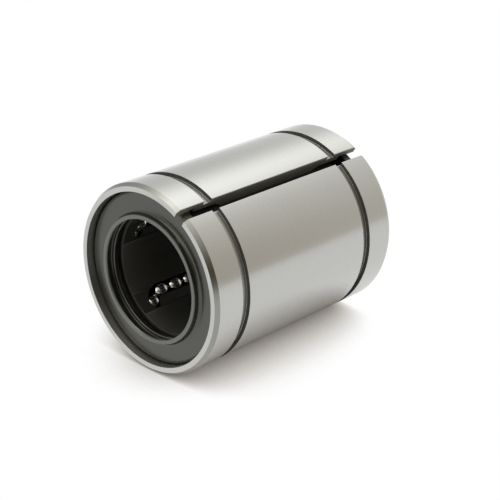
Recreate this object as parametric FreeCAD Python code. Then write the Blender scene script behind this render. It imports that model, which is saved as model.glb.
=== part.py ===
"""Adjustable linear ball bushing for a 20 mm shaft.

A slit, hardened outer cylinder holds a moulded ball retainer with five closed ball circuits.
Split retaining rings and rubber wiper seals close both ends. Millimetres, +Z along the shaft.
The bushing stands on its front end, z = 0, and the slit faces +Y.
"""
import FreeCAD
import Part

import math
import os

V = FreeCAD.Vector

# Main sizes of the bushing
shaft_d = 20.0
outer_d = 32.0
length = 42.0
slit_w = 1.88
clip_groove_d = 30.5
clip_groove_w = 1.6
clip_groove_span = 30.5

# Ball circuits: a loaded straight row, a return row and two half turns each
ball_d = 3.175
ball_gap = 0.075
circuits = 5
row_balls = 7
turn_balls = 2
first_row_azimuth = -75.0
run_clear = 0.03
# How far each circuit's loaded row stands towards the front end, from the middle of its cell
rest_shift = [0.94, 0.30, 0.20, -0.86, 0.55]

# Outer cylinder
end_face_d = 31.0
end_chamfer_len = 0.8
slit_edge_break = 0.12
seal_seat_d = 29.3
ring_groove_d = 29.9
turn_relief_d = 28.4
ramp_before_turn = 0.75
land_after_turn = 0.9
return_groove_clear = 0.06

# Retainer, retaining rings and seals
retainer_od = 26.2
retainer_id = 20.7
retainer_end_chamfer = 0.12
channel_clear = 0.1
ring_t = 1.0
ring_od = 29.8
ring_id = 21.4
ring_gap_w = 3.0
seal_face_z = 1.35
seal_back_z = 3.05
seal_od = 29.24
seal_edge_break = 0.6
seal_lip_d = 20.1
seal_mouth_d = 20.3
seal_groove_d = 21.8
back_lip_d = 20.7
collar_top_z = 0.3
collar_top_d = 21.7
collar_foot_d = 21.9
collar_round = 0.12
lip_front_z = 0.5
lip_back_z = 0.62
seal_groove_z = 1.5
back_lip_z = 2.26

# Worked out from the above
ball_r = ball_d / 2
pitch = ball_d + ball_gap
turn_r = pitch / (2 * math.sin(math.pi / (2 * turn_balls)))
load_r = shaft_d / 2 + run_clear + ball_r
land_r = load_r + ball_r + run_clear
straight_len = row_balls * pitch
front_turn_z = (length - straight_len) / 2
rear_turn_z = length - front_turn_z
retainer_front = seal_back_z + ring_t
channel_half_w = ball_r + channel_clear
return_r = math.hypot(load_r, 2 * turn_r)
relief_ramp_start = front_turn_z - ramp_before_turn
load_land_start = front_turn_z + land_after_turn
clip_groove_z = (length - clip_groove_span) / 2

overrun = 1.0


def turned(points):
    """A ring turned about the shaft axis, from its (radius, z) section."""
    corners = [V(r, 0, z) for r, z in points]
    section = Part.Face(Part.makePolygon(corners + corners[:1]))
    return section.revolve(V(0, 0, 0), V(0, 0, 1), 360)


def at_rear(points):
    """The same section at the rear end, mirrored in the bushing's middle plane."""
    return [(r, length - z) for r, z in points]


def both_ends(points):
    """A section's path that starts at the front and comes back mirrored at the rear."""
    return points + at_rear(points)[::-1]


def circuit_azimuth(circuit):
    return first_row_azimuth + circuit * 360 / circuits


def slit_cutter():
    """The slit on the +Y side along the whole length, with its outer edges broken."""
    half_w = slit_w / 2
    r_out = outer_d / 2
    side = [
        (half_w, shaft_d / 2),
        (half_w, r_out - slit_edge_break),
        (half_w + slit_edge_break + overrun, r_out + overrun),
    ]
    corners = [V(x, y, -overrun) for x, y in side + [(-x, y) for x, y in side[::-1]]]
    section = Part.Face(Part.makePolygon(corners + corners[:1]))
    return section.extrude(V(0, 0, length + 2 * overrun))


def make_outer_cylinder():
    """Ground steel sleeve: stepped bore, clip grooves, return grooves and one slit."""
    r_out = outer_d / 2
    outside = both_ends([
        (end_face_d / 2, 0),
        (r_out, end_chamfer_len),
        (r_out, clip_groove_z),
        (clip_groove_d / 2, clip_groove_z),
        (clip_groove_d / 2, clip_groove_z + clip_groove_w),
        (r_out, clip_groove_z + clip_groove_w),
    ])
    inside = both_ends([
        (seal_seat_d / 2, 0),
        (seal_seat_d / 2, seal_back_z),
        (ring_groove_d / 2, seal_back_z),
        (ring_groove_d / 2, retainer_front),
        (turn_relief_d / 2, retainer_front),
        (turn_relief_d / 2, relief_ramp_start),
        (land_r, load_land_start),
    ])
    sleeve = turned(outside + inside[::-1])
    groove_len = length - 2 * relief_ramp_start
    for circuit in range(circuits):
        groove = Part.makeCylinder(
            ball_r + return_groove_clear, groove_len, V(load_r, -2 * turn_r, relief_ramp_start))
        groove.rotate(V(0, 0, 0), V(0, 0, 1), circuit_azimuth(circuit))
        sleeve = sleeve.cut(groove)
    return sleeve.cut(slit_cutter())


def ball_channel():
    """Racetrack cutter of one circuit at azimuth 0: a U section, round below and open to the outside."""
    r_open = outer_d / 2
    floor = Part.Arc(
        V(load_r, channel_half_w, front_turn_z),
        V(load_r - channel_half_w, 0, front_turn_z),
        V(load_r, -channel_half_w, front_turn_z)).toShape()
    walls = Part.makePolygon([
        V(load_r, -channel_half_w, front_turn_z),
        V(r_open, -channel_half_w, front_turn_z),
        V(r_open, channel_half_w, front_turn_z),
        V(load_r, channel_half_w, front_turn_z)])
    section = Part.Face(Part.Wire([floor] + walls.Edges))
    rear_section = section.translated(V(0, 0, straight_len))
    load_side = section.extrude(V(0, 0, straight_len))
    return_side = load_side.translated(V(0, -2 * turn_r, 0))
    front = section.revolve(V(0, -turn_r, front_turn_z), V(1, 0, 0), -180)
    rear = rear_section.revolve(V(0, -turn_r, rear_turn_z), V(1, 0, 0), 180)
    return load_side.fuse([front, return_side, rear]).removeSplitter()


def make_ball_retainer():
    """Moulded tube with five racetrack channels, through to the bore only along the loaded rows."""
    bore_r = retainer_id / 2
    end = retainer_front
    tube = turned(both_ends([
        (bore_r, end + retainer_end_chamfer),
        (bore_r + retainer_end_chamfer, end),
        (retainer_od / 2 - retainer_end_chamfer, end),
        (retainer_od / 2, end + retainer_end_chamfer),
    ]))
    channel = ball_channel()
    for circuit in range(circuits):
        tube = tube.cut(channel.rotated(V(0, 0, 0), V(0, 0, 1), circuit_azimuth(circuit)))
    return tube


def retaining_ring_section():
    return [
        (ring_id / 2, seal_back_z),
        (ring_od / 2, seal_back_z),
        (ring_od / 2, retainer_front),
        (ring_id / 2, retainer_front),
    ]


def make_retaining_ring(section):
    """Flat spring ring, open over the slit so that the cylinder can still close."""
    gap = Part.makeBox(ring_gap_w, outer_d / 2, length, V(-ring_gap_w / 2, 0, 0))
    return turned(section).cut(gap)


def seal_section():
    """Flat rubber flange with a raised collar, a wiping lip, a grease groove and a wider back lip."""
    return [
        (seal_od / 2, seal_back_z),
        (seal_od / 2, seal_face_z + seal_edge_break),
        (seal_od / 2 - seal_edge_break, seal_face_z),
        (collar_foot_d / 2, seal_face_z),
        (collar_top_d / 2, collar_top_z + collar_round),
        (collar_top_d / 2 - collar_round, collar_top_z),
        (seal_mouth_d / 2, collar_top_z),
        (seal_lip_d / 2, lip_front_z),
        (seal_lip_d / 2, lip_back_z),
        (seal_groove_d / 2, seal_groove_z),
        (seal_groove_d / 2, back_lip_z),
        (back_lip_d / 2, back_lip_z),
        (back_lip_d / 2, seal_back_z),
    ]


def balls(circuit, places):
    """Separate balls of one circuit at (tangential, z) places on its flat track."""
    spheres = [Part.makeSphere(ball_r, V(load_r, y, z)) for y, z in places]
    group = Part.makeCompound(spheres)
    group.rotate(V(0, 0, 0), V(0, 0, 1), circuit_azimuth(circuit))
    return group


def row_places(y, shift):
    return [(y, front_turn_z + (k + 0.5) * pitch + shift) for k in range(row_balls)]


def turn_places(z, z_sign, lead):
    """Balls on a half turn, lead being how far they have run on from the middle of their cells."""
    step = math.pi / turn_balls
    angles = [(k + 0.5 + lead / pitch) * step for k in range(turn_balls)]
    return [(turn_r * (math.cos(a) - 1), z + z_sign * turn_r * math.sin(a)) for a in angles]


def make_circuit(circuit):
    shift = rest_shift[circuit]
    number = circuit + 1
    return {
        f"load_row_{number}": balls(circuit, row_places(0, -shift)),
        f"return_row_{number}": balls(circuit, row_places(-2 * turn_r, shift)),
        f"front_turn_{number}": balls(circuit, turn_places(front_turn_z, -1, shift)),
        f"rear_turn_{number}": balls(circuit, turn_places(rear_turn_z, 1, -shift)),
    }


def make_parts():
    parts = {
        "outer_cylinder": make_outer_cylinder(),
        "ball_retainer": make_ball_retainer(),
        "seal_front": turned(seal_section()),
        "seal_rear": turned(at_rear(seal_section())),
        "retaining_ring_front": make_retaining_ring(retaining_ring_section()),
        "retaining_ring_rear": make_retaining_ring(at_rear(retaining_ring_section())),
    }
    for circuit in range(circuits):
        parts.update(make_circuit(circuit))
    return parts


def main():
    os.makedirs("parts", exist_ok=True)
    for name, shape in make_parts().items():
        volume = sum(solid.Volume for solid in shape.Solids)
        print(f"{name}: {len(shape.Solids)} solid(s), {volume:.1f} mm3, valid {shape.isValid()}")
        shape.exportStep(f"parts/{name}.step")
    print(f"turn radius {turn_r:.4f}, loaded centre radius {load_r:.4f}, return centre radius {return_r:.4f}")
    print(f"turn centres at z {front_turn_z:.3f} and {rear_turn_z:.3f}, pitch {pitch:.3f}")


if __name__ == "__main__":
    main()
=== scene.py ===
import bmesh
import bpy
import numpy as np
from mathutils import Matrix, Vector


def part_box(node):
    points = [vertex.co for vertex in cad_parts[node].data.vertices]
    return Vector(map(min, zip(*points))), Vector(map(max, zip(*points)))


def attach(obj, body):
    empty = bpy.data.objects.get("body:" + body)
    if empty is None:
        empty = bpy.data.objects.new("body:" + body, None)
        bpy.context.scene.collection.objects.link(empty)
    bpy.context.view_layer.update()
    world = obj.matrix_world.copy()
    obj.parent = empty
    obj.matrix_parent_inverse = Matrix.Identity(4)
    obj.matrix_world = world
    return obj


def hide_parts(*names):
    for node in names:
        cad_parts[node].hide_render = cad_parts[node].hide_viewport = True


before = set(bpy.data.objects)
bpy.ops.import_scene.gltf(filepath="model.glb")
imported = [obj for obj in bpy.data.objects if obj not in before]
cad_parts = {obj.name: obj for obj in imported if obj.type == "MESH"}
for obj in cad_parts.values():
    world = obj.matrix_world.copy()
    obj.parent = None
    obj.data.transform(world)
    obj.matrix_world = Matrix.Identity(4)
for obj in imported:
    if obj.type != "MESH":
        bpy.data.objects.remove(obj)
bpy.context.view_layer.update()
mm = 0.001  # sizes below are in millimetres, meshes in metres
circuitNumbers = range(1, 6)  # the ball circuits, as their nodes are numbered
print("frame loaded,", len(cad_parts), "nodes")


# One sRGB channel c becomes c / 12.92 below 0.04045 and ((c + 0.055) / 1.055) ** 2.4 above it
def linear(hexColour):
    srgb = np.array([int(hexColour[i:i + 2], 16) for i in (1, 3, 5)]) / 255
    light = np.where(srgb <= 0.04045, srgb / 12.92, ((srgb + 0.055) / 1.055) ** 2.4)
    return (*light.tolist(), 1.0)


# Adds one node: lower-case keys are the node's own settings, the rest are inputs by name or number
def put(tree, kind, settings=None, links=None):
    node = tree.nodes.new("ShaderNode" + kind)
    for key, value in (settings or {}).items():
        if isinstance(key, str) and key[0].islower():
            setattr(node, key, value)
        else:
            node.inputs[key].default_value = value
    for key, socket in (links or {}).items():
        tree.links.new(socket, node.inputs[key])
    return node


# The node tree of a material or world, emptied
def emptyTree(holder):
    holder.use_nodes = True
    holder.node_tree.nodes.clear()
    return holder.node_tree


# A new material holding a Principled shader with the given sockets, already linked to the output
def newFinish(name, sockets):
    finish = bpy.data.materials.new(name)
    tree = emptyTree(finish)
    shader = put(tree, "BsdfPrincipled", sockets)
    put(tree, "OutputMaterial", {}, {"Surface": shader.outputs["BSDF"]})
    return finish, tree, shader


# Hardened bearing steel, centreless ground: a pale mirror that is drawn out along the axis, because the
# grinding lines run round the part, under a film of oil that whitens it at a glancing angle
groundSteelSettings = dict(
    pale="#BFBFBC", dull="#BBBBB7",
    roughness=(0.25, 0.30),
    lineSpacing=0.14,  # real lines are about 0.02 mm apart, drawn coarser so that they show
    lineLength=24.0,
    lineDepth=0.0003, lineStrength=0.1, lineDetail=3.0,
    steel={"Metallic": 1.0, "Anisotropic": 0.75, "Anisotropic Rotation": 0.25},
    oil={"Coat Weight": 0.8, "Coat Roughness": 0.12, "Coat IOR": 1.47},
)


# Noise drawn out round the part runs the tone from dull to pale and the roughness from its higher to its
# lower value, and is the height of the lines. Highlights are stretched a quarter turn from the lines
def groundSteel(loopLength, girth):
    s = groundSteelSettings
    finish, tree, shader = newFinish("groundBearingSteel", {**s["steel"], **s["oil"]})
    place = put(tree, "UVMap", {"uv_map": "turned"})
    lines = put(tree, "Mapping", {"Scale": (girth / s["lineLength"], loopLength / s["lineSpacing"], 1)},
                {"Vector": place.outputs["UV"]})
    grind = put(tree, "TexNoise", {"noise_dimensions": "2D", "Scale": 1.0, "Detail": s["lineDetail"]},
                {"Vector": lines.outputs["Vector"]})
    tone = put(tree, "Mix", {"data_type": "RGBA", 6: linear(s["dull"]), 7: linear(s["pale"])},
               {0: grind.outputs["Fac"]})
    sheen = put(tree, "MapRange", {"To Min": s["roughness"][1], "To Max": s["roughness"][0]},
                {"Value": grind.outputs["Fac"]})
    scratch = put(tree, "Bump", {"Strength": s["lineStrength"], "Distance": s["lineDepth"] * mm},
                  {"Height": grind.outputs["Fac"]})
    along = put(tree, "Tangent", {"direction_type": "UV_MAP", "uv_map": "turned"})
    tree.links.new(tone.outputs[2], shader.inputs["Base Color"])
    tree.links.new(sheen.outputs["Result"], shader.inputs["Roughness"])
    tree.links.new(scratch.outputs["Normal"], shader.inputs["Normal"])
    tree.links.new(along.outputs["Tangent"], shader.inputs["Tangent"])
    return finish


steelMottle = {"Detail": 4.0, "Roughness": 0.6}  # four finer layers, each 0.6 as strong as the one before

# Turned steel as the tool left it: a duller, darker grey metal than the ground outside
turnedSteelSettings = dict(tones=("#8F8F8A", "#9D9D99"), spot=0.7, noise=steelMottle,
                           sockets={"Metallic": 1.0, "Roughness": 0.28})

# Grooves and seats, turned with a fine tool: an even satin grey
grooveSteelSettings = dict(tones=("#ABAAA6", "#B6B5B1"), spot=0.7, noise=steelMottle,
                           sockets={"Metallic": 1.0, "Roughness": 0.42})

# Charcoal steel on the clip grooves' walls and in the bore, darker than the grooves' floor, with a soft
# grey sheen where it faces light
darkSteelSettings = dict(tones=("#45453F", "#62625B"), spot=0.9, noise=steelMottle,
                         sockets={"Metallic": 0.5, "Roughness": 0.50})

# Walls of the slit, sawn before hardening and left dark: a rough grey that takes light from any side
sawnSteelSettings = dict(tones=("#6E6F66", "#888980"), spot=0.9, noise=steelMottle,
                         sockets={"Metallic": 0.3, "Roughness": 0.65})

# Spring steel, cold rolled and blued: dark straw grey with a dull satin sheen
springSteelSettings = dict(tones=("#4E4B46", "#6A665F"), spot=0.5, noise={"Detail": 3.0},
                           sockets={"Metallic": 1.0, "Roughness": 0.36})

# Chrome bearing steel, lapped: a clear bright mirror, a little hazier where the balls have run
ballSteelSettings = dict(tones=("#DAD9D6", "#CBC9C5"), spot=0.6, noise={"Detail": 2.0},
                         sockets={"Metallic": 1.0}, roughness=(0.04, 0.09))

# Acetal resin, injection moulded: deep black, nearly matt, with slight flow marks
blackResinSettings = dict(tones=("#252521", "#2F2F2A"), spot=4.0, noise={"Detail": 3.0, "Distortion": 0.4},
                          sockets={"IOR": 1.48}, roughness=(0.42, 0.55))


# Noise with spots of a real size runs a finish from its first tone to its second, and from the first to
# the second roughness where it has two
def mottledFinish(name, s):
    finish, tree, shader = newFinish(name, s["sockets"])
    place = put(tree, "TexCoord")
    patch = put(tree, "TexNoise", {"Scale": 1 / (s["spot"] * mm), **s["noise"]},
                {"Vector": place.outputs["Object"]})
    first, second = map(linear, s["tones"])
    tone = put(tree, "Mix", {"data_type": "RGBA", 6: first, 7: second}, {0: patch.outputs["Fac"]})
    tree.links.new(tone.outputs[2], shader.inputs["Base Color"])
    if "roughness" in s:
        sheen = put(tree, "MapRange", {"To Min": s["roughness"][0], "To Max": s["roughness"][1]},
                    {"Value": patch.outputs["Fac"]})
        tree.links.new(sheen.outputs["Result"], shader.inputs["Roughness"])
    return finish


# Nitrile rubber, compression moulded: near black under a waxy bloom, which greys it where it mirrors
# something bright, with a fine moulded grain. Its edge has no bloom. Its lips and the collar's top are
# painted paler, a painted highlight along those edges
sealRubberSettings = dict(
    # the two tones of each finish, and its IOR
    # the paler lip tones are a painted highlight on the lips and the collar's top
    face=("#151613", "#1D1E1B", 1.83), edge=("#282926", "#30312E", 1.45), paintedLipHighlight=("#4A4B48", "#545552", 1.83),
    sheen="#F4F5EC", roughness=0.26,
    cloud=2.5, cloudDetail=3.0,
    grain=0.12, grainDetail=2.0, grainDepth=0.003, grainStrength=0.25,
)


# Coarse noise runs the rubber from its first tone to its second, and fine noise is the height of its grain
def sealRubber(name, part):
    s = sealRubberSettings
    first, second, gloss = s[part]
    finish, tree, shader = newFinish(name, {
        "Roughness": s["roughness"], "IOR": gloss, "Specular Tint": linear(s["sheen"])})
    place = put(tree, "TexCoord")
    cloud = put(tree, "TexNoise", {"Scale": 1 / (s["cloud"] * mm), "Detail": s["cloudDetail"]},
                {"Vector": place.outputs["Object"]})
    tone = put(tree, "Mix", {"data_type": "RGBA", 6: linear(first), 7: linear(second)},
               {0: cloud.outputs["Fac"]})
    grain = put(tree, "TexNoise", {"Scale": 1 / (s["grain"] * mm), "Detail": s["grainDetail"]},
                {"Vector": place.outputs["Object"]})
    skin = put(tree, "Bump", {"Strength": s["grainStrength"], "Distance": s["grainDepth"] * mm},
               {"Height": grain.outputs["Fac"]})
    tree.links.new(tone.outputs[2], shader.inputs["Base Color"])
    tree.links.new(skin.outputs["Normal"], shader.inputs["Normal"])
    return finish


# A section's corners (radius, z, round) become arcs that touch both sides of the corner. An arc starts
# and ends at round / tan(half angle) from the corner, with its centre on the bisector, and a support
# point stands just before and just after it. Rows are the points of all corners in order
def roundedProfile(corners, arcSteps=4, support=0.25):
    corner = np.array([c[:2] for c in corners], float)
    bend = np.array([c[2] for c in corners], float)[:, None]
    before = np.roll(corner, 1, 0) - corner
    after = np.roll(corner, -1, 0) - corner
    before /= np.linalg.norm(before, axis=1, keepdims=True)
    after /= np.linalg.norm(after, axis=1, keepdims=True)
    half = np.arccos(np.sum(before * after, 1, keepdims=True)) / 2
    reach = bend / np.tan(half)
    bisector = before + after
    centre = corner + bisector / np.linalg.norm(bisector, axis=1, keepdims=True) * bend / np.sin(half)
    start = corner + before * reach
    end = corner + after * reach
    sweep = (np.pi - 2 * half)[:, None]
    t = np.linspace(0, 1, arcSteps)[None, :, None]
    arc = (centre[:, None]
           + (start - centre)[:, None] * np.sin((1 - t) * sweep) / np.sin(sweep)
           + (end - centre)[:, None] * np.sin(t * sweep) / np.sin(sweep))
    lead = (start + before * bend * support)[:, None]
    tail = (end + after * bend * support)[:, None]
    return np.concatenate([lead, arc, tail], 1).reshape(-1, 2)


# Columns over a gap's rounded edge, the last of them past it by a share of the round
gapEdgeAngles = np.radians([0, 22, 45, 68, 90, 90])
gapEdgeMargin = 0.3


# A profile of (radius, z) rows turned about Z, from one wall of a gap at +Y round to the other.
# Columns next to the gap stand at half the gap plus e(1 - cos a) from its middle, where the radius is
# held to the outer radius less e(1 - sin a), which rounds the gap's outer edges by e. The rest share
# the remaining angle evenly
def turnedWithGap(profile, gap, edgeRound, aroundSteps):
    radius, z = profile[:, :1], profile[:, 1:]
    a = gapEdgeAngles[None, :]
    off = gap / 2 + edgeRound * (1 - np.cos(a))
    off[:, -1] += edgeRound * gapEdgeMargin
    nearRadius = np.minimum(radius, radius.max() - edgeRound * (1 - np.sin(a)))
    nearTurn = np.arcsin(off / nearRadius)
    share = np.linspace(0, 1, aroundSteps // 2 + 1)[None, 1:]
    farTurn = nearTurn[:, -1:] + share * (np.pi - nearTurn[:, -1:])
    turn = np.concatenate([nearTurn, farTurn], 1)
    radii = np.concatenate([nearRadius, np.broadcast_to(radius, farTurn.shape)], 1)
    turn = np.concatenate([turn, 2 * np.pi - turn[:, -2::-1]], 1)
    radii = np.concatenate([radii, radii[:, -2::-1]], 1)
    return turn + np.pi / 2, radii, np.broadcast_to(z, turn.shape)


# Points at x = r cos a, y = r sin a
def cartesian(azimuth, radius, z):
    return np.stack([radius * np.cos(azimuth), radius * np.sin(azimuth), z], -1)


# The same corners at the rear end, in reverse order: z becomes length - z
def mirrored(corners, length):
    return [(r, length - z, bend, *rest) for r, z, bend, *rest in corners[::-1]]


# Quads between neighbouring rows and columns of a grid of points, joined round where it is closed
def gridFaces(rows, cols, closedRows, closedCols):
    i = np.arange(rows if closedRows else rows - 1)[:, None]
    j = np.arange(cols if closedCols else cols - 1)[None, :]
    nextI = (i + 1) % rows
    nextJ = (j + 1) % cols
    corners = (i * cols + j, i * cols + nextJ, nextI * cols + nextJ, nextI * cols + j)
    return np.stack(np.broadcast_arrays(*corners), -1).reshape(-1, 4)


# Quads round a turned section with a gap, then the section's first and last columns as the gap's two walls
def gapFaces(rows, cols):
    wall = np.arange(rows) * cols
    return gridFaces(rows, cols, True, False).tolist() + [wall.tolist(), (wall + cols - 1)[::-1].tolist()]


# Puts an object with this data into the scene, at the origin
def addObject(name, data):
    added = bpy.data.objects.new(name, data)
    bpy.context.scene.collection.objects.link(added)
    return added


# Shades a mesh smooth, with edges over the angle left sharp
def smoothMesh(mesh, sharpAngle):
    mesh.polygons.foreach_set("use_smooth", np.ones(len(mesh.polygons), bool))
    mesh.set_sharp_from_angle(angle=np.radians(sharpAngle))


# Makes the mesh object, and turns its faces outwards if the enclosed volume, the sum of
# corner . (next x last) / 6 over the quads' triangle fans, comes out negative
def addPiece(name, points, faces, finishes, faceFinish=None, uv=None, sharpAngle=28):
    faces = [list(map(int, f)) for f in faces]
    p = points[np.array([f for f in faces if len(f) == 4])]
    volume = np.sum(p[:, 0] * (np.cross(p[:, 1], p[:, 2]) + np.cross(p[:, 2], p[:, 3]))) / 6
    if volume < 0:
        faces = [f[::-1] for f in faces]
    mesh = bpy.data.meshes.new(name)
    mesh.from_pydata((points * mm).tolist(), [], faces)
    for finish in finishes:
        mesh.materials.append(finish)
    if faceFinish is not None:
        mesh.polygons.foreach_set("material_index", faceFinish.astype(np.int32))
    if uv is not None:
        corner = np.zeros(len(mesh.loops), np.int32)
        mesh.loops.foreach_get("vertex_index", corner)
        mesh.uv_layers.new(name="turned").data.foreach_set("uv", uv[corner].ravel())
    smoothMesh(mesh, sharpAngle)
    mesh.validate()
    return addObject(name, mesh)


# Outer cylinder: the ground sleeve with its slit, clip grooves, seal seats and return grooves
outerCylinderSettings = dict(
    slitWidth=1.88, slitEdgeRound=0.10,
    endFaceDiameter=31.0, rimRound=0.06, chamferLength=0.8, chamferRound=0.08,
    clipGrooveDiameter=30.5, clipGrooveWidth=1.6, clipGrooveSpan=30.5,
    clipGrooveEdgeRound=0.05, clipGrooveFloorRound=0.06,
    sealSeatDiameter=29.3, sealSeatDepth=3.05, sealSeatRound=0.03,
    ringGrooveDiameter=29.9, ringGrooveEnd=4.05, ringGrooveRound=0.05,
    turnReliefDiameter=28.4, rampStart=8.875, landStart=10.525, landDiameter=26.47, rampRound=0.30,
    returnGrooveRadius=1.6475, returnGrooveOverrun=0.5,
    aroundSteps=300,
)
ground, turned, groove, dark, sawn = range(5)  # the cylinder's finishes, as its mesh numbers them


# Corners (radius, z, round, finish of the side that follows) round the cylinder's section: along the
# outside from the front to the rear, and back along the inside
def cylinderCorners(outer, length):
    s = outerCylinderSettings
    grooveStart = (length - s["clipGrooveSpan"]) / 2
    grooveEnd = grooveStart + s["clipGrooveWidth"]
    grooveFloor, face = s["clipGrooveDiameter"] / 2, s["endFaceDiameter"] / 2
    seat, ring = s["sealSeatDiameter"] / 2, s["ringGrooveDiameter"] / 2
    relief, land = s["turnReliefDiameter"] / 2, s["landDiameter"] / 2
    outside = [
        (seat, 0, s["rimRound"], ground),
        (face, 0, s["rimRound"], turned),
        (outer, s["chamferLength"], s["chamferRound"], ground),
        (outer, grooveStart, s["clipGrooveEdgeRound"], dark),
        (grooveFloor, grooveStart, s["clipGrooveFloorRound"], groove),
        (grooveFloor, grooveEnd, s["clipGrooveFloorRound"], dark),
        (outer, grooveEnd, s["clipGrooveEdgeRound"], ground),
    ]
    rearFinish = [dark, groove, dark, ground, turned, ground, groove]
    rear = [(*c[:3], finish) for c, finish in zip(mirrored(outside, length), rearFinish)]
    inside = [
        (land, s["landStart"], s["rampRound"], dark),
        (relief, s["rampStart"], s["rampRound"], dark),
        (relief, s["ringGrooveEnd"], s["ringGrooveRound"], dark),
        (ring, s["ringGrooveEnd"], s["ringGrooveRound"], dark),
        (ring, s["sealSeatDepth"], s["ringGrooveRound"], dark),
        (seat, s["sealSeatDepth"], s["sealSeatRound"], groove),
    ]
    return outside + rear + mirrored(inside, length) + inside


# A strip of faces has the finish of the side it lies on, and an arc the lower numbered of its two sides'
def stripFinishes(corners, perCorner):
    after = np.array([c[3] for c in corners])
    before = np.roll(after, 1)
    strip = np.repeat(after[:, None], perCorner, 1)
    strip[:, 0] = before
    strip[:, 1:perCorner - 2] = np.minimum(after, before)[:, None]
    return strip.ravel()


# The bore stands off to where a ray at that azimuth leaves a return groove, when that is further out:
# c cos(d) + sqrt(g^2 - (c sin(d))^2), c and d being the groove's distance and angle from the ray
def withReturnGrooves(azimuth, radius, grooveRadius):
    for circuit in circuitNumbers:
        lo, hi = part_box(f"return_row_{circuit}")
        x, y = (lo.x + hi.x) / 2 / mm, (lo.y + hi.y) / 2 / mm
        c, d = np.hypot(x, y), azimuth - np.arctan2(y, x)
        inside = grooveRadius ** 2 - (c * np.sin(d)) ** 2
        wall = np.where((inside > 0) & (np.cos(d) > 0), c * np.cos(d) + np.sqrt(np.maximum(inside, 0)), 0)
        radius = np.maximum(radius, wall)
    return radius


# The rounded section turned from one wall of the slit to the other, its bore widened by the return grooves.
# The map's u is the share of the columns, and v the share of the way round the section
def buildOuterCylinder(otherFinishes):
    s = outerCylinderSettings
    lo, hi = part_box("outer_cylinder")
    outer, length = hi.x / mm, (hi.z - lo.z) / mm
    corners = cylinderCorners(outer, length)
    profile = roundedProfile(corners)
    azimuth, radius, z = turnedWithGap(profile, s["slitWidth"], s["slitEdgeRound"], s["aroundSteps"])
    grooveHalf = length / 2 - s["rampStart"] + s["returnGrooveOverrun"]
    bore = (profile[:, 0] < s["sealSeatDiameter"] / 2) & (np.abs(profile[:, 1] - length / 2) < grooveHalf)
    radius = np.where(bore[:, None], withReturnGrooves(azimuth, radius, s["returnGrooveRadius"]), radius)
    rows, cols = radius.shape
    strips = stripFinishes(corners, rows // len(corners))
    faceFinish = np.concatenate([np.repeat(strips, cols - 1), [sawn, sawn]])
    run = np.concatenate([[0], np.cumsum(np.linalg.norm(np.diff(profile, axis=0), axis=1))])
    uv = np.stack(np.meshgrid(np.linspace(0, 1, cols), run / run[-1]), -1).reshape(-1, 2)
    finishes = [groundSteel(run[-1], 2 * np.pi * outer), *otherFinishes]
    points = cartesian(azimuth, radius, z).reshape(-1, 3)
    piece = addPiece("outerCylinder", points, gapFaces(rows, cols), finishes, faceFinish, uv)
    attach(piece, "bushing")
    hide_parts("outer_cylinder")


# Wiper seals: a flat rubber flange with a raised collar, a wiping lip, a grease groove and a wider back lip
sealSettings = dict(
    diameter=29.24, faceZ=1.35, backZ=3.05, edgeRound=0.6, backRound=0.10,
    collarFootDiameter=21.9, collarFootRound=0.55,
    collarTopDiameter=21.7, collarTopZ=0.3, collarTopRound=0.14,
    mouthDiameter=20.3, mouthRound=0.06,
    lipDiameter=20.1, lipFrontZ=0.5, lipBackZ=0.62, lipRound=0.04,
    grooveDiameter=21.8, grooveZ=1.5, grooveRound=0.15,
    backLipDiameter=20.7, backLipZ=2.26, backLipRound=0.16,
    edgeWidth=0.12,  # the outermost part, which has no bloom
    topHighlightReach=0.02, backLipHighlightReach=0.15,  # reach of the painted highlight at the collar's top and the back lip's corner
    aroundSteps=240, arcSteps=5, sharpAngle=40,
)


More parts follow.
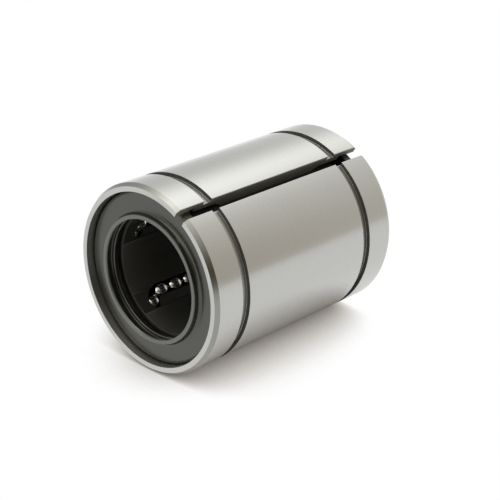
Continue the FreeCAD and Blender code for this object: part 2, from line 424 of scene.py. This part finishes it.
# The seal's rounded section turned a full circle about Z. A strip's finish goes by the middle of it: the
# paler one, a painted highlight, on the collar's top, the wiping lip and the back lip's corner, the edge's
# at the outside, and the face's elsewhere
def buildSeal(name, node, finishes, atRear):
    s = sealSettings
    outer, foot, top = s["diameter"] / 2, s["collarFootDiameter"] / 2, s["collarTopDiameter"] / 2
    mouth, wiper = s["mouthDiameter"] / 2, s["lipDiameter"] / 2
    hollow, backLip = s["grooveDiameter"] / 2, s["backLipDiameter"] / 2
    corners = [
        (outer, s["backZ"], s["backRound"]),
        (outer, s["faceZ"], s["edgeRound"]),
        (foot, s["faceZ"], s["collarFootRound"]),
        (top, s["collarTopZ"], s["collarTopRound"]),
        (mouth, s["collarTopZ"], s["mouthRound"]),
        (wiper, s["lipFrontZ"], s["lipRound"]),
        (wiper, s["lipBackZ"], s["lipRound"]),
        (hollow, s["grooveZ"], s["grooveRound"]),
        (hollow, s["backLipZ"], s["grooveRound"]),
        (backLip, s["backLipZ"], s["backLipRound"]),
        (backLip, s["backZ"], s["backRound"]),
    ]
    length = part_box("outer_cylinder")[1].z / mm
    if atRear:
        corners = mirrored(corners, length)
    profile = roundedProfile(corners, s["arcSteps"])
    azimuth = np.linspace(0, 2 * np.pi, s["aroundSteps"], endpoint=False)[None, :]
    points = cartesian(*np.broadcast_arrays(azimuth, profile[:, :1], profile[:, 1:])).reshape(-1, 3)
    faces = gridFaces(len(profile), s["aroundSteps"], True, True)
    radius, z = ((profile + np.roll(profile, -1, 0)) / 2).T
    z = length - z if atRear else z
    edge = radius > outer - s["edgeWidth"]
    # these strips take the paler finish, a painted highlight on the collar's top, the wiping lip and the
    # back lip's corner
    paintedLipHighlight = (z < s["collarTopZ"] + s["topHighlightReach"]) | ((z < s["lipBackZ"]) & (radius < mouth))
    paintedLipHighlight |= (np.abs(z - s["backLipZ"]) < s["backLipHighlightReach"]) & (radius < backLip + s["backLipHighlightReach"])
    faceFinish = np.repeat(np.where(paintedLipHighlight, 2, edge), s["aroundSteps"])  # 0 face, 1 edge, 2 painted highlight
    piece = addPiece(name, points, faces, finishes, faceFinish, sharpAngle=s["sharpAngle"])
    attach(piece, "bushing")
    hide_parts(node)


# Retaining rings: flat split rings, open over the slit
ringSettings = dict(gap=3.0, innerDiameter=21.4, edgeRound=0.05, aroundSteps=160)


# A rounded rectangle between the two radii and the node's two ends, turned from one wall of the gap to
# the other
def buildRetainingRing(name, node, finish):
    s = ringSettings
    lo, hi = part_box(node)
    outer, inner = hi.x / mm, s["innerDiameter"] / 2
    front, back = lo.z / mm, hi.z / mm
    corners = [(r, z, s["edgeRound"]) for r, z in
               ((inner, front), (outer, front), (outer, back), (inner, back))]
    azimuth, radius, z = turnedWithGap(roundedProfile(corners), s["gap"], s["edgeRound"], s["aroundSteps"])
    points = cartesian(azimuth, radius, z).reshape(-1, 3)
    piece = addPiece(name, points, gapFaces(*radius.shape), [finish])
    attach(piece, "bushing")
    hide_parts(node)


# Ball retainer: the moulded tube with its racetrack channels
retainerSettings = dict(weld=0.0005, sharpAngle=32)


# A copy of the frame's own mesh, with points nearer than the weld merged, and shaded smooth
def buildRetainer(finish):
    s = retainerSettings
    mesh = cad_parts["ball_retainer"].data.copy()
    mesh.name = "ballRetainer"
    shell = bmesh.new()
    shell.from_mesh(mesh)
    bmesh.ops.remove_doubles(shell, verts=shell.verts, dist=s["weld"] * mm)
    shell.to_mesh(mesh)
    shell.free()
    mesh.materials.clear()
    mesh.materials.append(finish)
    smoothMesh(mesh, s["sharpAngle"])
    piece = addObject("ballRetainer", mesh)
    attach(piece, "bushing")
    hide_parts("ball_retainer")


# Balls: each circuit has a loaded row, a return row and two half turns
ballSettings = dict(
    # the start of the node's name, the start of the piece's name and the number of balls
    groups=(("load_row", "loadRow", 7), ("return_row", "returnRow", 7),
            ("front_turn", "frontTurn", 2), ("rear_turn", "rearTurn", 2)),
    aroundSteps=28, poleSteps=18, sharpAngle=60,
)


# Splits a node's points into equal shares along their longest direction, one share for each ball, and
# takes the middle of each share's box as that ball's centre, and half the box's height as the radius
def ballCentres(node, count):
    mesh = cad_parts[node].data
    points = np.zeros(len(mesh.vertices) * 3, np.float32)
    mesh.vertices.foreach_get("co", points)
    points = points.reshape(-1, 3).astype(float) / mm
    middle = points - points.mean(0)
    axis = np.linalg.svd(middle.T @ middle)[0][:, 0]
    run = middle @ axis
    share = np.minimum((run - run.min()) / np.ptp(run) * count, count - 1).astype(int)
    groups = [points[share == k] for k in range(count)]
    return np.array([(g.min(0) + g.max(0)) / 2 for g in groups]), np.ptp(groups[0][:, 2]) / 2


# Sphere points: r (sin p cos a, sin p sin a, cos p) on a grid of p and a, with a point at each pole,
# moved to every centre
def buildBalls(name, node, count, finish):
    s = ballSettings
    centres, radius = ballCentres(node, count)
    p = np.linspace(0, np.pi, s["poleSteps"] + 1)[1:-1, None]
    a = np.linspace(0, 2 * np.pi, s["aroundSteps"], endpoint=False)[None, :]
    sphere = np.stack(np.broadcast_arrays(np.sin(p) * np.cos(a), np.sin(p) * np.sin(a), np.cos(p)), -1)
    sphere = np.concatenate([sphere.reshape(-1, 3), [[0, 0, 1], [0, 0, -1]]])
    rows, cols = s["poleSteps"] - 1, s["aroundSteps"]
    top, bottom = rows * cols, rows * cols + 1
    j = np.arange(cols)
    nextJ = (j + 1) % cols
    lastRow = (rows - 1) * cols
    sides = gridFaces(rows, cols, False, True)
    crown = np.stack([np.full(cols, top), nextJ, j], 1)
    foot = np.stack([np.full(cols, bottom), lastRow + j, lastRow + nextJ], 1)
    points = (centres[:, None] + radius * sphere[None]).reshape(-1, 3)
    starts = np.arange(count) * len(sphere)
    faces = [f for start in starts for part in (sides, crown, foot) for f in (part + start).tolist()]
    piece = addPiece(name, points, faces, [finish], sharpAngle=s["sharpAngle"])
    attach(piece, node)
    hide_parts(node)


buildOuterCylinder([mottledFinish("turnedSteel", turnedSteelSettings),
                    mottledFinish("grooveSteel", grooveSteelSettings),
                    mottledFinish("charcoalSteel", darkSteelSettings),
                    mottledFinish("sawnSteel", sawnSteelSettings)])
print("outer cylinder made")

buildRetainer(mottledFinish("blackAcetal", blackResinSettings))
# the third rubber is paler, a painted highlight on the lips and the collar's top
rubber = [sealRubber("nitrileRubber", "face"), sealRubber("nitrileEdge", "edge"),
          sealRubber("nitrilePaintedHighlight", "paintedLipHighlight")]
buildSeal("sealFront", "seal_front", rubber, False)
buildSeal("sealRear", "seal_rear", rubber, True)
spring = mottledFinish("bluedSpringSteel", springSteelSettings)
buildRetainingRing("retainingRingFront", "retaining_ring_front", spring)
buildRetainingRing("retainingRingRear", "retaining_ring_rear", spring)
print("retainer, seals and rings made")

lapped = mottledFinish("lappedBallSteel", ballSteelSettings)
for circuit in circuitNumbers:
    for nodeStart, nameStart, count in ballSettings["groups"]:
        buildBalls(f"{nameStart}{circuit}", f"{nodeStart}_{circuit}", count, lapped)
print("balls made")


# Camera at the photograph's viewing angle. The bushing lies on its side there, so the photograph's upright
# is square to the bore, at an azimuth about Z
cameraSettings = dict(
    place=(-79.182, 157.840, -132.024), aim=(-1.510, -0.740, 22.807),
    upAzimuth=57.780, lens=99.68, sensor=36,
    near=5.0, far=50000.0,
)


# A vector divided by its length
def unit(vector):
    return np.asarray(vector, float) / np.linalg.norm(vector)


# The level direction (cos a, sin a, 0)
def azimuthVector(degrees):
    return np.array([np.cos(np.radians(degrees)), np.sin(np.radians(degrees)), 0.0])


photoUp = azimuthVector(cameraSettings["upAzimuth"])
photoSide = azimuthVector(cameraSettings["upAzimuth"] + 90)  # square to up and bore, on the camera's side
xAxis, yAxis, boreAxis = np.eye(3)


# A direction made of shares of the photograph's up, its side and the bore
def leaning(up, side, bore):
    return unit(up * photoUp + side * photoSide + bore * boreAxis)


# The camera's back points from the aim to its place, its right is up x back, its top is back x right
def buildCamera():
    s = cameraSettings
    data = bpy.data.cameras.new("camera")
    data.lens, data.sensor_width = s["lens"], s["sensor"]
    data.clip_start, data.clip_end = s["near"] * mm, s["far"] * mm
    place = np.array(s["place"])
    back = unit(place - np.array(s["aim"]))
    right = unit(np.cross(photoUp, back))
    turn = np.eye(4)
    turn[:3, :3] = np.stack([right, np.cross(back, right), back], 1)
    turn[:3, 3] = place * mm
    camera = addObject("camera", data)
    camera.matrix_world = Matrix(turn.tolist())
    bpy.context.scene.camera = camera
    return back


# Studio round the bushing: pale walls, warm and dim where they turn behind the camera, soft panels overhead
# and in front of the bore, and two dark ones on the camera's side
studioSettings = dict(
    # how far a direction points away from the camera, and the light of the walls there
    ramp=((-1.0, "#CCC8C1"), (-0.05, "#BEB6AA"), (0.0, "#D5CDC2"), (0.06, "#E9E6DD"), (0.14, "#F0EEE6"),
          (0.23, "#F4F3EE"), (0.33, "#FDFDFA"), (0.54, "#DADAD7"), (0.70, "#D3D3D1"), (0.85, "#D3D3D1"),
          (0.92, "#DADAD8"), (1.0, "#E8E8E6")),
    # each panel's direction as shares of up, side and bore, its gain and its tightness
    panels=(((0.70, -0.28, 0.66), 0.69, 20.0), ((0.95, -0.15, -0.26), 2.32, 22.0),
            ((0.90, 0.30, -0.32), 0.72, 14.0), ((0.95, -0.20, 0.27), 1.10, 14.0),
            ((0.45, 0.05, -0.89), 1.60, 22.0), ((0.35, 0.50, -0.79), -0.35, 10.0),
            ((0.15, 0.90, -0.41), -0.48, 14.0)),
)


# Light by direction: the walls' colour by how far it points away from the camera, plus each panel's gain
# times (direction . panel) ** tightness
def buildStudio(cameraBack):
    s = studioSettings
    world = bpy.data.worlds.new("studio")
    bpy.context.scene.world = world
    tree = emptyTree(world)
    away = unit(-cameraBack + photoUp * (cameraBack @ photoUp))
    aim = put(tree, "TexCoord").outputs["Generated"]
    rear = put(tree, "VectorMath", {"operation": "DOT_PRODUCT", 1: away}, {0: aim})
    share = put(tree, "MapRange", {"From Min": -1.0}, {"Value": rear.outputs["Value"]})
    ramp = put(tree, "ValToRGB", {}, {"Fac": share.outputs["Result"]})
    stops = ramp.color_ramp.elements
    for spot, _ in s["ramp"][1:-1]:
        stops.new((spot + 1) / 2)
    for stop, (spot, colour) in zip(stops, s["ramp"]):
        stop.position, stop.color = (spot + 1) / 2, linear(colour)
    total = ramp.outputs["Color"]
    for lean, gain, tightness in s["panels"]:
        facing = put(tree, "VectorMath", {"operation": "DOT_PRODUCT", 1: leaning(*lean)}, {0: aim})
        front = put(tree, "Math", {"operation": "MAXIMUM", 1: 0.0}, {0: facing.outputs["Value"]})
        soft = put(tree, "Math", {"operation": "POWER", 1: tightness}, {0: front.outputs["Value"]})
        total = put(tree, "VectorMath", {"operation": "MULTIPLY_ADD", 1: (gain, gain, gain)},
                    {0: soft.outputs["Value"], 2: total}).outputs["Vector"]
    glow = put(tree, "Background", {"Strength": 1.0}, {"Color": total})
    put(tree, "OutputWorld", {}, {"Surface": glow.outputs["Background"]})


# Floors: the paper that the bushing lies on in the photograph, and a sheet under the end that it stands on
floorSettings = dict(
    white="#F4F4F4", burnt="#FFFFFF", shade="#FFF4E6", reach=4000.0,
    openGain=1.58, skySamples=16,  # how far the paper is burnt out, and the rays that find the open sky
    shadowReach=100.0,  # how far off a thing may be to shade the paper
    # how far the open sky leans along side and bore, as the camera and as the steel sees it
    cameraLean=(0.06, 0.17), mirrorLean=(-0.33, -0.24),
    tableEdge=175.0,  # the table ends on the camera's side, which the steel mirrors
    restDrop=0.05, restShadowReach=30.0,
    restFade=(16.5, 26.0),  # distance from the bore's axis over which the standing shadow ends
)


# White matt paper that shows only from its front. The camera and the steel see it burnt out to plain white,
# less the bushing's shadow, which is warm: gain times the open share of the sky round an axis, held to 1.
# A fade brings that to 1 between its two distances from the origin
def whitePaper(name, cameraAxis, mirrorAxis, reach, fade=None):
    s = floorSettings
    finish = bpy.data.materials.new(name)
    tree = emptyTree(finish)
    ray = put(tree, "LightPath")
    axis = put(tree, "Mix", {"data_type": "VECTOR", 4: mirrorAxis, 5: cameraAxis},
               {0: ray.outputs["Is Camera Ray"]})
    openSky = put(tree, "AmbientOcclusion", {"samples": s["skySamples"], "Distance": reach * mm},
                  {"Normal": axis.outputs[1]})
    level = put(tree, "Math", {"operation": "MULTIPLY", "use_clamp": True, 1: s["openGain"]},
                {0: openSky.outputs["AO"]})
    if fade:
        spot = put(tree, "TexCoord")
        off = put(tree, "VectorMath", {"operation": "LENGTH"}, {0: spot.outputs["Object"]})
        bare = put(tree, "MapRange", {"interpolation_type": "SMOOTHSTEP", "From Min": fade[0] * mm,
                                      "From Max": fade[1] * mm}, {"Value": off.outputs["Value"]})
        level = put(tree, "Math", {"operation": "MAXIMUM"},
                    {0: level.outputs["Value"], 1: bare.outputs["Result"]})
    tone = put(tree, "Mix", {"data_type": "RGBA", 6: linear(s["shade"]), 7: linear(s["burnt"])},
               {0: level.outputs["Value"]})
    burnt = put(tree, "Emission", {}, {"Color": tone.outputs[2], "Strength": level.outputs["Value"]})
    seen = ray.outputs["Is Camera Ray"]
    for kind in ("Is Glossy Ray", "Is Transmission Ray"):
        seen = put(tree, "Math", {"use_clamp": True}, {0: seen, 1: ray.outputs[kind]}).outputs["Value"]
    matt = put(tree, "BsdfDiffuse", {"Color": linear(s["white"])})
    front = put(tree, "MixShader", {}, {0: seen, 1: matt.outputs["BSDF"], 2: burnt.outputs["Emission"]})
    side = put(tree, "NewGeometry")
    clear = put(tree, "BsdfTransparent")
    sheet = put(tree, "MixShader", {}, {0: side.outputs["Backfacing"], 1: front.outputs["Shader"],
                                        2: clear.outputs["BSDF"]})
    put(tree, "OutputMaterial", {}, {"Surface": sheet.outputs["Shader"]})
    return finish


# A flat sheet that reaches from its middle by plus and minus two spans, facing their cross product
def buildSheet(name, middle, across, along, finish):
    corner = np.array([(-1, -1), (1, -1), (1, 1), (-1, 1)])
    points = middle + corner[:, :1] * across + corner[:, 1:] * along
    mesh = bpy.data.meshes.new(name)
    mesh.from_pydata((points * mm).tolist(), [], [[0, 1, 2, 3]])
    mesh.materials.append(finish)
    sheet = addObject(name, mesh)
    return sheet


# The photograph's paper touches the bushing's lowest line there, at the outer radius below the bore's axis
def buildFloors():
    s = floorSettings
    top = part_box("outer_cylinder")[1]
    outer, half = top.x / mm, top.z / mm / 2
    axes = [leaning(1, *s[lean]) for lean in ("cameraLean", "mirrorLean")]
    paper = whitePaper("whitePaper", *axes, s["shadowReach"])
    middle = -photoUp * outer + boreAxis * half + photoSide * (s["tableEdge"] - s["reach"]) / 2
    across = photoSide * (s["tableEdge"] + s["reach"]) / 2
    buildSheet("photoFloor", middle, across, boreAxis * s["reach"], paper)
    restPaper = whitePaper("restPaper", boreAxis, boreAxis, s["restShadowReach"], s["restFade"])
    restSpans = xAxis * s["reach"], yAxis * s["reach"]
    rest = buildSheet("restFloor", -boreAxis * s["restDrop"], *restSpans, restPaper)
    # the sheet it stands on is only for views from above, so it keeps no light off the bushing
    rest.visible_diffuse = rest.visible_glossy = rest.visible_transmission = rest.visible_shadow = False


buildStudio(buildCamera())
buildFloors()
bpy.context.scene.view_settings.view_transform = "Standard"
print("camera, studio and floors made")
